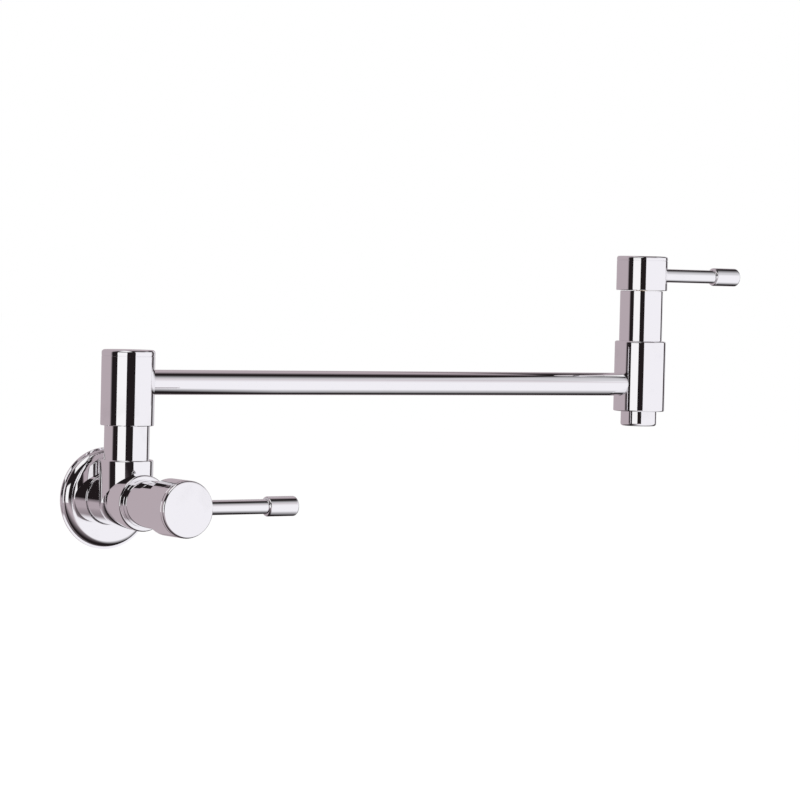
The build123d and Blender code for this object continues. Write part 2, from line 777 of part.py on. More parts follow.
def hub_cap(hub_back):
    """Cover disc with a plug that presses into the hub's recess."""
    joint = hub_back.offset(hub_height)
    with BuildPart() as cap:
        with BuildSketch(joint):
            Circle(hub_radius)
        extrude(amount=hub_cap_thickness)
        cap_rims = rims(cap, hub_radius).sort_by(axis_of(hub_back))
        fillet(cap_rims[-1], hub_cap_edge)
        chamfer(cap_rims[0], seam_edge)
        with BuildSketch(joint):
            Circle(hub_cap_plug_radius)
            Circle(hub_cap_plug_radius - hub_cap_plug_wall, mode=Mode.SUBTRACT)
        extrude(amount=-hub_cap_plug_depth)
    return cap


def lever_rod(hub_back):
    """Rod with a threaded stud at each end, one for the hub and one for the grip."""
    rod_end = grip_start + grip_socket_depth
    stud_tip = rod_end + grip_stud_length
    return turned(lever_frame(hub_back), (0, stud_end), (stud_radius, stud_end),
                  (stud_radius, rod_seat), (rod_radius, rod_seat), (rod_radius, rod_end),
                  (stud_radius, rod_end), (stud_radius, stud_tip), (0, stud_tip))


def lever_grip(hub_back):
    """Thicker finger grip screwed on the rod's end, with a rounded tip."""
    lever = lever_frame(hub_back)
    with BuildPart() as grip:
        with BuildSketch(lever.offset(grip_start)):
            Circle(grip_radius)
        extrude(amount=grip_end - grip_start)
        ends = rims(grip, grip_radius).sort_by(axis_of(lever))
        fillet(ends[0], grip_shoulder)
        fillet(ends[-1], grip_tip)
        drill(lever, grip_start, grip_socket_depth, rod_radius + slip_fit)
        drill(lever, grip_start + grip_socket_depth, grip_stud_length + slip_fit,
              stud_radius + thread_fit)
    return grip


# ---- Both valves, piece by piece --------------------------------------------
for valve, seat, hub_back in (
    ("wall", wall_seat, wall_hub),
    ("outlet", outlet_seat, outlet_hub),
):
    hub_level = axis_of(seat).position.sub(hub_back.origin).length
    finish(cartridge_housing(seat), f"{valve}_cartridge_housing")
    finish(ring(seat, seal_bore, disc_radius, 0, seal_thickness), f"{valve}_seat_seal")
    finish(fixed_disc(seat), f"{valve}_fixed_disc")
    finish(ring(seat, valve_thread_radius + slip_fit, collar_gasket_radius,
                seat_depth, collar_bottom), f"{valve}_collar_gasket")
    finish(bonnet(seat, hub_level), f"{valve}_bonnet")
    finish(bonnet_bush(seat, hub_level), f"{valve}_bonnet_bush")
    finish(rotating_disc(seat), f"{valve}_rotating_disc")
    finish(spindle(seat, hub_level), f"{valve}_spindle")
    finish(o_rings(seat, journal_radius - spindle_seal_section, spindle_seal_section,
                   spindle_seal_heights), f"{valve}_spindle_o_rings")
    finish(spindle_clip(seat), f"{valve}_spindle_clip")
    finish(hub(hub_back), f"{valve}_hub")
    finish(socket_screw(hub_back.offset(web_top), hub_screw_radius, hub_screw_length,
                        hub_screw_head_radius, hub_screw_head_height,
                        hub_screw_socket_radius), f"{valve}_hub_screw")
    finish(hub_cap(hub_back), f"{valve}_hub_cap")
    finish(lever_rod(hub_back), f"{valve}_lever_rod")
    finish(lever_grip(hub_back), f"{valve}_lever_grip")
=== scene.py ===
"""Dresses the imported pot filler: finishes, small trim, studio and camera."""

import json
import math

import bpy
from bpy.props import (
    FloatProperty,
    FloatVectorProperty,
    IntProperty,
    PointerProperty,
)
from bpy.types import Operator, Panel, PropertyGroup
from mathutils import Matrix, Vector

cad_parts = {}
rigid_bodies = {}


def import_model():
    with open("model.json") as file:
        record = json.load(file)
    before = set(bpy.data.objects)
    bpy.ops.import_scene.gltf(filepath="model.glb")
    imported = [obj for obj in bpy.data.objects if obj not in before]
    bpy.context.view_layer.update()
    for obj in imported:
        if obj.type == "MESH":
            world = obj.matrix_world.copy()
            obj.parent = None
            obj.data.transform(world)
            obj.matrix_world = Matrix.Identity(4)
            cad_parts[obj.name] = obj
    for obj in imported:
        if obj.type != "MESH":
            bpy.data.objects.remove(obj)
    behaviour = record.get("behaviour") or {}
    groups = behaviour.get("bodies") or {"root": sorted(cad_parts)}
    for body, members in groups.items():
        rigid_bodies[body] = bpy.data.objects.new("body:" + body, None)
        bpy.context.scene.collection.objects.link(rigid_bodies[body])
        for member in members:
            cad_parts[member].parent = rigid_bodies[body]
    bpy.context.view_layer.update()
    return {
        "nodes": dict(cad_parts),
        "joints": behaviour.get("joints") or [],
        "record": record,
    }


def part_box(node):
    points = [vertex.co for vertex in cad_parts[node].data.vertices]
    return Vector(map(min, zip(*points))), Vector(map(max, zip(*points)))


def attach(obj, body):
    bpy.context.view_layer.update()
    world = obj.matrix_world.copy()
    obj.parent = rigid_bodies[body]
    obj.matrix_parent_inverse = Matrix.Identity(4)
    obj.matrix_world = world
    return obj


bl_info = {
    "name": "Wall mounted pot filler",
    "version": (1, 0, 0),
    "blender": (4, 5, 0),
    "location": "3D View > Sidebar > Pot Filler",
    "description": "Finishes, trim and studio for a chrome wall mounted pot filler",
    "category": "Object",
}

for leftover in list(bpy.data.objects):
    bpy.data.objects.remove(leftover)

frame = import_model()
nodes = frame["nodes"]
slot_of = {
    entry["node"]: entry["material_slot"] for entry in frame["record"]["subparts"]
}
joint_of = {joint["name"]: joint for joint in frame["joints"]}


# ---------------------------------------------------------------------------
# Places read from the frame
# ---------------------------------------------------------------------------

MM = 0.001


def size_of(node):
    """Full size of a CAD node's box."""
    low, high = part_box(node)
    return high - low


swivel_point = Vector(joint_of["arm_swivel"]["pos_m"])
outlet_point = Vector(joint_of["outlet_handle_turn"]["pos_m"])
arm_level = swivel_point.z
tube_radius = size_of("arm_tube").z / 2
sleeve_radius = size_of("swivel_sleeve").y / 2
outlet_radius = size_of("outlet_valve_body").y / 2
inlet = next(m for m in frame["record"]["mounts"] if m["name"] == "inlet")
inlet_radius = inlet["dims"]["r_mm"] * MM
inlet_depth = inlet["dims"]["length_mm"] * MM


# ---------------------------------------------------------------------------
# Properties: what a user would change
# ---------------------------------------------------------------------------

class FinishSettings(PropertyGroup):
    chrome_tint: FloatVectorProperty(
        name="Chrome tint", description="Colour of the chrome plate at a straight look",
        subtype="COLOR", size=3, min=0, max=1, default=(0.93, 0.925, 0.935),
    )
    chrome_roughness: FloatProperty(
        name="Chrome roughness", description="Roughness of clean chrome",
        subtype="FACTOR", min=0, max=1, default=0.022,
    )
    smudge: FloatProperty(
        name="Smudge", description="Roughness that handling adds in soft patches",
        subtype="FACTOR", min=0, max=1, default=0.05,
    )
    smudge_size: FloatProperty(
        name="Smudge size", description="Size of a handling smudge",
        subtype="DISTANCE", unit="LENGTH", min=0.001, default=0.03,
    )
    brass: FloatVectorProperty(
        name="Brass", description="Colour of bare turned brass",
        subtype="COLOR", size=3, min=0, max=1, default=(0.80, 0.60, 0.30),
    )
    steel: FloatVectorProperty(
        name="Stainless steel", description="Colour of the screws and clips",
        subtype="COLOR", size=3, min=0, max=1, default=(0.60, 0.60, 0.59),
    )
    ceramic: FloatVectorProperty(
        name="Ceramic", description="Colour of the lapped valve discs",
        subtype="COLOR", size=3, min=0, max=1, default=(0.88, 0.87, 0.83),
    )
    acetal: FloatVectorProperty(
        name="Acetal", description="Colour of bushes, washers and the jet insert",
        subtype="COLOR", size=3, min=0, max=1, default=(0.80, 0.80, 0.77),
    )
    rubber: FloatVectorProperty(
        name="Rubber", description="Colour of the seals",
        subtype="COLOR", size=3, min=0, max=1, default=(0.025, 0.025, 0.027),
    )
    foam: FloatVectorProperty(
        name="Foam", description="Colour of the foam behind the flange",
        subtype="COLOR", size=3, min=0, max=1, default=(0.05, 0.05, 0.052),
    )


class TrimSettings(PropertyGroup):
    braze_size: FloatProperty(
        name="Braze fillet", description="Leg of the polished fillet at the tube's ends",
        subtype="DISTANCE", unit="LENGTH", min=0.0001, default=0.0003,
    )
    thread_pitch: FloatProperty(
        name="Thread pitch", description="Pitch of the half-inch inlet thread",
        subtype="DISTANCE", unit="LENGTH", min=0.0005, default=0.001814,
    )
    thread_depth: FloatProperty(
        name="Thread depth", description="Height of the thread's ridge",
        subtype="DISTANCE", unit="LENGTH", min=0.0001, default=0.00116,
    )
    turn_segments: IntProperty(
        name="Segments per turn", description="Points round one turn of a trim piece",
        min=12, max=256, default=96,
    )


class StudioSettings(PropertyGroup):
    camera_place: FloatVectorProperty(
        name="Camera place", description="Where the camera stands",
        subtype="TRANSLATION", unit="LENGTH", size=3,
        default=(-0.965779, -1.809075, 0.137406),
    )
    camera_turn: FloatProperty(
        name="Camera turn", description="Turn of the view to the right of straight ahead",
        subtype="ANGLE", unit="ROTATION", default=math.radians(33.341),
    )
    camera_dip: FloatProperty(
        name="Camera dip", description="How far the camera looks down",
        subtype="ANGLE", unit="ROTATION", default=math.radians(1.966),
    )
    camera_roll: FloatProperty(
        name="Camera roll", description="Roll of the camera about its view",
        subtype="ANGLE", unit="ROTATION", default=math.radians(1.332),
    )
    focal_length: FloatProperty(
        name="Focal length", description="Focal length in millimetres on a 36 mm sensor",
        min=10, default=143.45,
    )
    floor_level: FloatProperty(
        name="Floor level", description="Height of the floor below the inlet",
        subtype="DISTANCE", unit="LENGTH", default=-0.25,
    )
    room_light: FloatProperty(
        name="Room light", description="Strength of the even light from all round",
        min=0, default=0.85,
    )
    key_power: FloatProperty(
        name="Key lamp", description="Power of the soft lamp above the object, in watts",
        min=0, default=9.0,
    )


class PotFillerSettings(PropertyGroup):
    finish: PointerProperty(type=FinishSettings, name="Finishes")
    trim: PointerProperty(type=TrimSettings, name="Trim")
    studio: PointerProperty(type=StudioSettings, name="Studio")


def settings():
    return bpy.context.scene.pot_filler


# ---------------------------------------------------------------------------
# Shader node groups shared by the finishes
# ---------------------------------------------------------------------------

# Levels of the noise between which a smudge sets in.
SMUDGE_FROM = 0.48
SMUDGE_TO = 0.72


def new_group(name, inputs, outputs):
    """An empty shader group with float sockets, and its two end nodes."""
    group = bpy.data.node_groups.new(name, "ShaderNodeTree")
    for label, default in inputs:
        socket = group.interface.new_socket(label, in_out="INPUT",
                                            socket_type="NodeSocketFloat")
        socket.default_value = default
    for label in outputs:
        group.interface.new_socket(label, in_out="OUTPUT", socket_type="NodeSocketFloat")
    return group, group.nodes.new("NodeGroupInput"), group.nodes.new("NodeGroupOutput")


def handling_group():
    """Soft smudges and hairline polishing marks of a handled metal surface."""
    group, given, result = new_group(
        "Handling marks",
        [("Clean roughness", 0.03), ("Smudge", 0.05), ("Patch scale", 30.0),
         ("Line scale", 900.0)],
        ["Roughness", "Height", "Mask"],
    )
    tree, link = group.nodes, group.links.new
    place = tree.new("ShaderNodeTexCoord")
    patches = tree.new("ShaderNodeTexNoise")
    patches.inputs["Detail"].default_value = 5.0
    patches.inputs["Roughness"].default_value = 0.6
    lines = tree.new("ShaderNodeTexNoise")
    lines.inputs["Detail"].default_value = 2.0
    spread = tree.new("ShaderNodeMapRange")
    spread.interpolation_type = "SMOOTHSTEP"
    spread.inputs["From Min"].default_value = SMUDGE_FROM
    spread.inputs["From Max"].default_value = SMUDGE_TO
    added = tree.new("ShaderNodeMath")
    added.operation = "MULTIPLY"
    total = tree.new("ShaderNodeMath")
    total.operation = "ADD"
    link(place.outputs["Object"], patches.inputs["Vector"])
    link(place.outputs["Object"], lines.inputs["Vector"])
    link(given.outputs["Patch scale"], patches.inputs["Scale"])
    link(given.outputs["Line scale"], lines.inputs["Scale"])
    link(patches.outputs["Fac"], spread.inputs["Value"])
    link(spread.outputs["Result"], added.inputs[0])
    link(given.outputs["Smudge"], added.inputs[1])
    link(added.outputs["Value"], total.inputs[0])
    link(given.outputs["Clean roughness"], total.inputs[1])
    link(total.outputs["Value"], result.inputs["Roughness"])
    link(lines.outputs["Fac"], result.inputs["Height"])
    link(spread.outputs["Result"], result.inputs["Mask"])
    return group


def grain_group():
    """Fine grain of moulded or turned material: a colour mask and a height."""
    group, given, result = new_group(
        "Fine grain",
        [("Grain scale", 1500.0), ("Cloud scale", 60.0)],
        ["Mask", "Height"],
    )
    tree, link = group.nodes, group.links.new
    place = tree.new("ShaderNodeTexCoord")
    cloud = tree.new("ShaderNodeTexNoise")
    cloud.inputs["Detail"].default_value = 4.0
    grain = tree.new("ShaderNodeTexVoronoi")
    grain.feature = "SMOOTH_F1"
    link(place.outputs["Object"], cloud.inputs["Vector"])
    link(place.outputs["Object"], grain.inputs["Vector"])
    link(given.outputs["Cloud scale"], cloud.inputs["Scale"])
    link(given.outputs["Grain scale"], grain.inputs["Scale"])
    link(cloud.outputs["Fac"], result.inputs["Mask"])
    link(grain.outputs["Distance"], result.inputs["Height"])
    return group


def shared_group(name, build):
    return bpy.data.node_groups.get(name) or build()


def handling_node(tree, clean, smudge, patch_size):
    node = tree.nodes.new("ShaderNodeGroup")
    node.node_tree = shared_group("Handling marks", handling_group)
    node.inputs["Clean roughness"].default_value = clean
    node.inputs["Smudge"].default_value = smudge
    node.inputs["Patch scale"].default_value = 1 / patch_size
    return node


def grain_node(tree, grain_scale):
    node = tree.nodes.new("ShaderNodeGroup")
    node.node_tree = shared_group("Fine grain", grain_group)
    node.inputs["Grain scale"].default_value = grain_scale
    return node


# ---------------------------------------------------------------------------
# Finishes
# ---------------------------------------------------------------------------

# Brightness of the darker shade in a smudge and in a cloud, against the plain colour,
# and the levels of the mask between which one turns into the other.
SMUDGED_SHADE = 0.965
CLOUDY_SHADE = 0.88
SHADE_FROM = 0.3
SHADE_TO = 0.75
# Depth of the hairline marks on metal.
MARK_DEPTH = 0.00002


def new_material(name):
    material = bpy.data.materials.new(name)
    material.use_nodes = True
    return material, material.node_tree, material.node_tree.nodes["Principled BSDF"]


def tinted(tree, shader, mask, first, second):
    """Base colour that moves from the first colour to the second with a mask."""
    ramp = tree.nodes.new("ShaderNodeValToRGB")
    ramp.color_ramp.elements[0].position = SHADE_FROM
    ramp.color_ramp.elements[0].color = (*first, 1)
    ramp.color_ramp.elements[1].position = SHADE_TO
    ramp.color_ramp.elements[1].color = (*second, 1)
    tree.links.new(mask, ramp.inputs["Fac"])
    tree.links.new(ramp.outputs["Color"], shader.inputs["Base Color"])


def bumped(tree, shader, height, strength, distance):
    bump = tree.nodes.new("ShaderNodeBump")
    bump.inputs["Strength"].default_value = strength
    bump.inputs["Distance"].default_value = distance
    tree.links.new(height, bump.inputs["Height"])
    tree.links.new(bump.outputs["Normal"], shader.inputs["Normal"])


def shaded(colour, factor):
    return tuple(channel * factor for channel in colour)


def metal_finish(name, colour, clean, smudge, patch_size, mark_strength):
    """Metal with smudges in its roughness and hairline marks in its surface."""
    material, tree, shader = new_material(name)
    shader.inputs["Metallic"].default_value = 1.0
    marks = handling_node(tree, clean, smudge, patch_size)
    tree.links.new(marks.outputs["Roughness"], shader.inputs["Roughness"])
    tinted(tree, shader, marks.outputs["Mask"], colour, shaded(colour, SMUDGED_SHADE))
    bumped(tree, shader, marks.outputs["Height"], mark_strength, MARK_DEPTH)
    return material


def moulded_finish(name, colour, roughness, grain_scale, bump_strength, bump_distance):
    """Plastic, rubber, foam or ceramic: cloudy colour and a fine grain."""
    material, tree, shader = new_material(name)
    shader.inputs["Roughness"].default_value = roughness
    grain = grain_node(tree, grain_scale)
    tinted(tree, shader, grain.outputs["Mask"], shaded(colour, CLOUDY_SHADE), colour)
    bumped(tree, shader, grain.outputs["Height"], bump_strength, bump_distance)
    return material


def polished_chrome():
    finish = settings().finish
    return metal_finish("polished_chrome", tuple(finish.chrome_tint),
                        clean=finish.chrome_roughness, smudge=finish.smudge,
                        patch_size=finish.smudge_size, mark_strength=0.04)


def machined_brass():
    return metal_finish("machined_brass", tuple(settings().finish.brass), clean=0.22,
                        smudge=0.15, patch_size=0.01, mark_strength=0.5)


def stainless_steel():
    return metal_finish("stainless_steel", tuple(settings().finish.steel), clean=0.25,
                        smudge=0.12, patch_size=0.008, mark_strength=0.4)


def lapped_ceramic():
    return moulded_finish("ceramic_white", tuple(settings().finish.ceramic), roughness=0.12,
                          grain_scale=4000, bump_strength=0.1, bump_distance=0.00002)


def natural_acetal():
    return moulded_finish("bearing_plastic", tuple(settings().finish.acetal), roughness=0.42,
                          grain_scale=2500, bump_strength=0.2, bump_distance=0.00005)


def seal_rubber():
    return moulded_finish("seal_rubber", tuple(settings().finish.rubber), roughness=0.55,
                          grain_scale=3000, bump_strength=0.3, bump_distance=0.00005)


def closed_foam():
    return moulded_finish("foam_black", tuple(settings().finish.foam), roughness=0.85,
                          grain_scale=1200, bump_strength=0.8, bump_distance=0.0003)


def dress(slot_names, material):
    """Gives a material to every CAD node whose slot is named."""
    for name, obj in nodes.items():
        if slot_of[name] in slot_names:
            for slot in obj.material_slots:
                slot.material = material


# ---------------------------------------------------------------------------
# Trim meshes
# ---------------------------------------------------------------------------

# Steps across the braze fillet's hollow.
BRAZE_STEPS = 6
# Section of the thread's ridge: share of the pitch, share of the depth.
THREAD_RIDGE = ((0.0, 0.0), (0.42, 1.0), (0.58, 1.0), (1.0, 0.0))
# The ridge's foot lies this far inside the bore's wall, and its ends fade in and out
# over this share of a turn.
THREAD_SINK = 0.00002
THREAD_FADE = 0.25


def add_piece(name, points, faces, body, material):
    """A smooth mesh piece that rides a CAD body and takes one finish."""
    mesh = bpy.data.meshes.new(name)
    mesh.from_pydata(points, [], faces)
    mesh.polygons.foreach_set("use_smooth", [True] * len(mesh.polygons))
    mesh.materials.append(material)
    mesh.update()
    piece = bpy.data.objects.new(name, mesh)
    bpy.context.scene.collection.objects.link(piece)
    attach(piece, body)


def loops_to_faces(loop_count, loop_size, closed):
    """Quads between neighbouring loops of points, round a ring or along a strip."""
    faces = []
    last = loop_count if closed else loop_count - 1
    for ring in range(last):
        after = (ring + 1) % loop_count
        for step in range(loop_size - 1):
            faces.append((
                ring * loop_size + step, ring * loop_size + step + 1,
                after * loop_size + step + 1, after * loop_size + step,
            ))
    return faces


def braze_fillet_points(body_radius, body_x, outward, leg, segments):
    """Concave fillet where the tube meets an upright cylinder, as rings of points."""
    points = []
    for index in range(segments):
        angle = 2 * math.pi * index / segments

        def on_body(radius):
            across = radius * math.cos(angle)
            along = math.sqrt(body_radius ** 2 - across ** 2)
            return Vector((along, across, radius * math.sin(angle)))

        corner = on_body(tube_radius)
        on_tube = corner + Vector((leg, 0, 0))
        on_wall = on_body(tube_radius + leg)
        for step in range(BRAZE_STEPS + 1):
            t = step / BRAZE_STEPS
            bent = (1 - t) ** 2 * on_tube + 2 * t * (1 - t) * corner + t ** 2 * on_wall
            points.append((body_x + outward * bent.x, swivel_point.y + bent.y,
                           arm_level + bent.z))
    return points, loops_to_faces(segments, BRAZE_STEPS + 1, closed=True)


def thread_points(radius, length, pitch, depth, segments):
    """Helical ridge inside a bore whose mouth lies at the origin, running to -Y."""
    turns = length / pitch - 1
    count = int(turns * segments)
    fade_steps = segments * THREAD_FADE
    points = []
    for index in range(count + 1):
        angle = 2 * math.pi * index / segments
        start = pitch * index / segments
        fade = min(1, index / fade_steps, (count - index) / fade_steps)
        for offset, height in THREAD_RIDGE:
            reach = radius + THREAD_SINK - height * depth * fade
            points.append((reach * math.cos(angle), -(start + offset * pitch),
                           reach * math.sin(angle)))
    return points, loops_to_faces(count + 1, len(THREAD_RIDGE), closed=False)


# ---------------------------------------------------------------------------
# Studio
# ---------------------------------------------------------------------------

# Corners of the studio's walls, seen from above, in metres.
NEAR_RIGHT = (0.044, -1.029)
NEAR_LEFT = (-0.883, -1.337)
LEFT = (-1.470, -0.408)
CLOTH_END = (-1.85, 0.32)
SCREEN_END = (-1.80, 0.60)
BACK_LEFT = (-1.2, 1.6)
BACK_RIGHT = (1.9, 1.6)
RIGHT_GAP = (2.45, 0.95)
FAR_RIGHT = (2.6, 0.2)
RIGHT = (1.6, -1.5)

# Heights of the cards and walls, and how far floor and ceiling reach, in metres.
FLOOR_CARD = -0.24
CEILING_CARD = 1.075
WALL_FOOT = FLOOR_CARD
WALL_TOP = 1.3
STUDIO_FRONT = -1.6
STUDIO_BACK = 2.3

# Tints that multiply a card's light.
NEUTRAL = (1.0, 0.99, 1.0)
LILAC = (0.99, 0.975, 1.02)
MAUVE = (1.08, 0.92, 1.0)
BLACK = (1.16, 0.88, 0.97)

# Tones of the studio, each as the display grey that the chrome shows it in, and a tint.
CLOTH = (35, BLACK)
DUSK = (60, BLACK)
SCREEN = (170, MAUVE)
PALE = (205, LILAC)
WHITE = (241, LILAC)
SOFTBOX = (246, NEUTRAL)

# Walls: name, start, end, and from the foot up the heights at which a tone is reached.
WALLS = (
    # Painted light: the near flag's foot glows in the screen's tone for the floor's light
    # falling on it, and fades to the cloth's dark by -0.05 m.
    ("near_flag", NEAR_RIGHT, NEAR_LEFT,
     ((WALL_FOOT, SCREEN), (-0.05, CLOTH), (WALL_TOP, CLOTH))),
    ("left_softbox", NEAR_LEFT, LEFT,
     ((WALL_FOOT, SOFTBOX), (0.46, SOFTBOX), (0.54, CLOTH), (WALL_TOP, CLOTH))),
    ("left_cloth", LEFT, CLOTH_END, ((WALL_FOOT, CLOTH), (WALL_TOP, CLOTH))),
    ("left_screen", SCREEN_END, BACK_LEFT, ((WALL_FOOT, SCREEN), (WALL_TOP, SCREEN))),
    ("back_wall", BACK_LEFT, BACK_RIGHT, ((WALL_FOOT, SCREEN), (WALL_TOP, SCREEN))),
    ("right_back", BACK_RIGHT, RIGHT_GAP, ((WALL_FOOT, PALE), (WALL_TOP, PALE))),
    ("right_gap", RIGHT_GAP, FAR_RIGHT, ((WALL_FOOT, DUSK), (WALL_TOP, DUSK))),
    ("right_card", FAR_RIGHT, RIGHT, ((WALL_FOOT, WHITE), (0.6, WHITE), (WALL_TOP, PALE))),
    ("front_card", RIGHT, NEAR_RIGHT, ((WALL_FOOT, WHITE), (0.25, WHITE), (WALL_TOP, SCREEN))),
)

# A dark cloth lies on the floor and another hangs under the ceiling, between the tone in
# front and the screen behind. Places where a cloth's edges bend, from left to right: the
# place across, the tone in front, its fade into the cloth and the cloth's fade out. The
# first fade has no effect where the tone in front is the cloth's own.
FLOOR_CLOTH = (
    (-2.00, SCREEN, (-0.60, -0.25), (0.00, 0.25)),
    (-0.10, SCREEN, (-0.60, -0.10), (0.00, 0.25)),
    (0.12, WHITE, (-0.40, -0.10), (0.05, 0.30)),
    (0.30, WHITE, (-0.20, 0.10), (0.25, 0.70)),
    (0.65, WHITE, (-0.20, 0.10), (0.25, 0.70)),
    (2.80, WHITE, (-0.30, 0.10), (0.50, 2.00)),
)
CEILING_CLOTH = (
    (-2.00, CLOTH, (-1.20, -1.00), (-0.10, 0.65)),
    (-1.00, CLOTH, (-1.20, -1.00), (-0.10, 0.65)),
    (-0.12, CLOTH, (-1.20, -1.00), (-0.35, 0.15)),
    (0.30, PALE, (-1.25, -0.45), (-0.10, 0.35)),
    (1.03, PALE, (-1.25, -0.45), (-0.10, 0.35)),
    (1.09, PALE, (-0.70, 0.15), (0.40, 1.40)),
    (2.80, PALE, (-0.70, 0.15), (0.60, 2.20)),
)

# The softbox over the left end, just under the ceiling: height, outer and lit corners,
# seen from above.
OVERHEAD = (1.07,
            ((-0.98, -1.42), (-0.14, -1.42), (-0.04, 0.24), (-0.82, -0.02)),
            ((-0.90, -1.08), (-0.22, -1.08), (-0.12, 0.10), (-0.76, -0.16)))


# Gamma of the display, and the share of the light that the chrome mirrors.
DISPLAY_GAMMA = 2.2
CHROME_MIRRORS = 0.93


def lit(tone):
    """Glow of a card that polished chrome shows in the given tone."""
    grey, tint = tone
    value = min(1.0, (grey / 255) ** DISPLAY_GAMMA / CHROME_MIRRORS)
    return (*(min(1.0, value * channel) for channel in tint), 1.0)


def card_material():
    material = bpy.data.materials.get("studio_card")
    if material:
        return material
    material = bpy.data.materials.new("studio_card")
    material.use_nodes = True
    tree = material.node_tree
    tree.nodes.clear()
    light = tree.nodes.new("ShaderNodeVertexColor")
    light.layer_name = "light"
    glow = tree.nodes.new("ShaderNodeEmission")
    output = tree.nodes.new("ShaderNodeOutputMaterial")
    tree.links.new(light.outputs["Color"], glow.inputs["Color"])
    tree.links.new(glow.outputs["Emission"], output.inputs["Surface"])
    return material


def add_card(name, rows):
    """A studio card that only shows in reflections, from rows of (point, colour)."""
    width = len(rows[0])
    mesh = bpy.data.meshes.new(name)
    mesh.from_pydata([point for row in rows for point, _ in row], [],
                     loops_to_faces(len(rows), width, closed=False))
    light = mesh.color_attributes.new(name="light", type="FLOAT_COLOR", domain="POINT")
    for entry, (_, colour) in zip(light.data, (pair for row in rows for pair in row)):
        entry.color = colour
    mesh.materials.append(card_material())
    card = bpy.data.objects.new(name, mesh)
    bpy.context.scene.collection.objects.link(card)
    card.visible_camera = False
    card.visible_diffuse = False
    card.visible_shadow = False
    card.visible_transmission = False


def add_cloth(name, height, bends):
    """A level card: a front tone, a cloth with soft edges, and the screen behind it."""
    add_card(name, [
        [((across, depth, height), lit(tone)) for depth, tone in (
            (STUDIO_FRONT, front), (fade_in[0], front), (fade_in[1], CLOTH),
            (fade_out[0], CLOTH), (fade_out[1], SCREEN), (STUDIO_BACK, SCREEN))]
        for across, front, fade_in, fade_out in bends
    ])


def add_cards():
    """The walls, the fade between cloth and screen on the left, floor, ceiling, softbox."""
    for name, start, end, steps in WALLS:
        add_card(name, [[((*place, height), lit(tone)) for place in (start, end)]
                        for height, tone in steps])
    add_card("left_fade", [[((*place, height), lit(tone))
                            for height in (WALL_FOOT, WALL_TOP)]
                           for place, tone in ((CLOTH_END, CLOTH), (SCREEN_END, SCREEN))])
    add_cloth("floor_card", FLOOR_CARD, FLOOR_CLOTH)
    add_cloth("ceiling_card", CEILING_CARD, CEILING_CLOTH)
    height, outer, inner = OVERHEAD
    shade, glow = lit(CLOTH), lit(SOFTBOX)
    loop = [[((*outer[i % 4], height), shade), ((*inner[i % 4], height), glow)]
            for i in range(5)]
    add_card("overhead_rim", loop)
    a, b, c, d = ((*corner, height) for corner in inner)
    add_card("overhead_softbox", [[(a, glow), (b, glow)], [(d, glow), (c, glow)]])


# The floor's colour and reach, and the key lamp's place, aim and width, in metres.
FLOOR_WHITE = 0.8
FLOOR_REACH = 30.0
KEY_LAMP_PLACE = (-0.2, -0.9, 1.6)
KEY_LAMP_AIM = (0.2, 0, 0.05)
KEY_LAMP_SIZE = 1.2


def seen_directly(tree):
    """1 for camera, glossy and transmission rays, 0 for the light on the object."""
    path = tree.nodes.new("ShaderNodeLightPath")
    total = path.outputs["Is Camera Ray"]
    for name in ("Is Glossy Ray", "Is Transmission Ray"):
        added = tree.nodes.new("ShaderNodeMath")
        added.operation = "ADD"
        added.use_clamp = True
        tree.links.new(total, added.inputs[0])
        tree.links.new(path.outputs[name], added.inputs[1])
        total = added.outputs["Value"]
    return total


def build_world(room_light):
    world = bpy.data.worlds.new("studio")
    bpy.context.scene.world = world
    world.use_nodes = True
    tree = world.node_tree
    tree.nodes.clear()
    light = tree.nodes.new("ShaderNodeBackground")
    light.inputs["Strength"].default_value = room_light
    backdrop = tree.nodes.new("ShaderNodeBackground")
    backdrop.inputs["Strength"].default_value = 1.0
    for background in (light, backdrop):
        background.inputs["Color"].default_value = (1, 1, 1, 1)
    mix = tree.nodes.new("ShaderNodeMixShader")
    output = tree.nodes.new("ShaderNodeOutputWorld")
    tree.links.new(seen_directly(tree), mix.inputs["Fac"])
    tree.links.new(light.outputs["Background"], mix.inputs[1])
    tree.links.new(backdrop.outputs["Background"], mix.inputs[2])
    tree.links.new(mix.outputs["Shader"], output.inputs["Surface"])


def floor_material(room_light):
    """White floor that shows as the backdrop does, less the object's shadow."""
    material, tree, shader = new_material("studio_floor")
    shader.inputs["Base Color"].default_value = (FLOOR_WHITE, FLOOR_WHITE, FLOOR_WHITE, 1)
    shader.inputs["Roughness"].default_value = 1.0
    shader.inputs["Specular IOR Level"].default_value = 0.0
    glow = tree.nodes.new("ShaderNodeMath")
    glow.operation = "MULTIPLY"
    glow.inputs[1].default_value = 1 - FLOOR_WHITE * room_light
    tree.links.new(seen_directly(tree), glow.inputs[0])
    shader.inputs["Emission Color"].default_value = (1, 1, 1, 1)
    tree.links.new(glow.outputs["Value"], shader.inputs["Emission Strength"])
    return material


def add_floor(level, room_light):
    mesh = bpy.data.meshes.new("floor")
    corners = [(x * FLOOR_REACH, y * FLOOR_REACH, level)
               for x, y in ((-1, -1), (1, -1), (1, 1), (-1, 1))]
    mesh.from_pydata(corners, [], [(0, 1, 2, 3)])
    mesh.materials.append(floor_material(room_light))
    floor = bpy.data.objects.new("floor", mesh)
    bpy.context.scene.collection.objects.link(floor)


